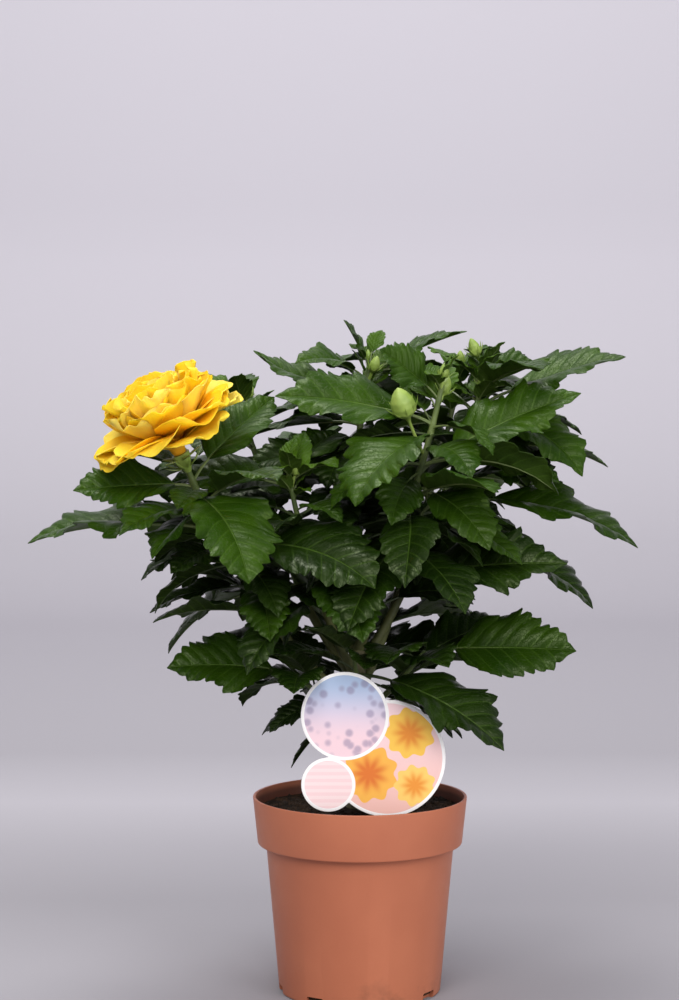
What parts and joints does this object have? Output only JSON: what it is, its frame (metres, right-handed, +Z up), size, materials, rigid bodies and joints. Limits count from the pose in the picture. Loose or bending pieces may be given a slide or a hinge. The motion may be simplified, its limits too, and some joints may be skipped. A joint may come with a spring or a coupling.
{
  "type": "potted hibiscus shrub",
  "caption": "Bushy potted shrub with toothed glossy leaves on rising shoots, buds at the shoot tips, a full ruffled flower, a round plastic nursery pot and a disc-shaped label on a stake.",
  "frame": {"origin": "on the ground, at the middle of the pot's flat underside", "axes": "+Z up through the plant, -Y towards the side that the picture shows, +X to the right of that view, away from the flower"},
  "size_m": [0.367, 0.2595, 0.4072],
  "materials": {
    "pot_plastic": "satin terracotta-coloured plastic",
    "soil": "moist dark peat",
    "label_card": "printed plastic card",
    "bark": "green-brown bark",
    "green_bark": "young green bark",
    "foliage": "glossy dark green leaves",
    "petals": "soft yellow petals"
  },
  "bodies": {
    "root": {"pot": "pot_plastic", "soil": "soil", "plant_label": "label_card", "trunk": "bark", "front_bough": "green_bark", "top_left_bough": "green_bark", "right_bough": "green_bark", "back_left_bough": "green_bark", "front_left_bough": "green_bark", "back_right_bough": "green_bark", "left_bough": "green_bark", "front_shoot": "foliage", "top_left_shoot": "foliage", "left_shoot": "foliage", "right_shoot": "foliage", "back_right_shoot": "foliage", "back_left_shoot": "foliage", "front_left_shoot": "foliage", "low_left_spray": "foliage", "low_right_spray": "foliage", "low_front_spray": "foliage", "low_back_spray": "foliage", "bloom": "petals"}
  },
  "joints": []
}
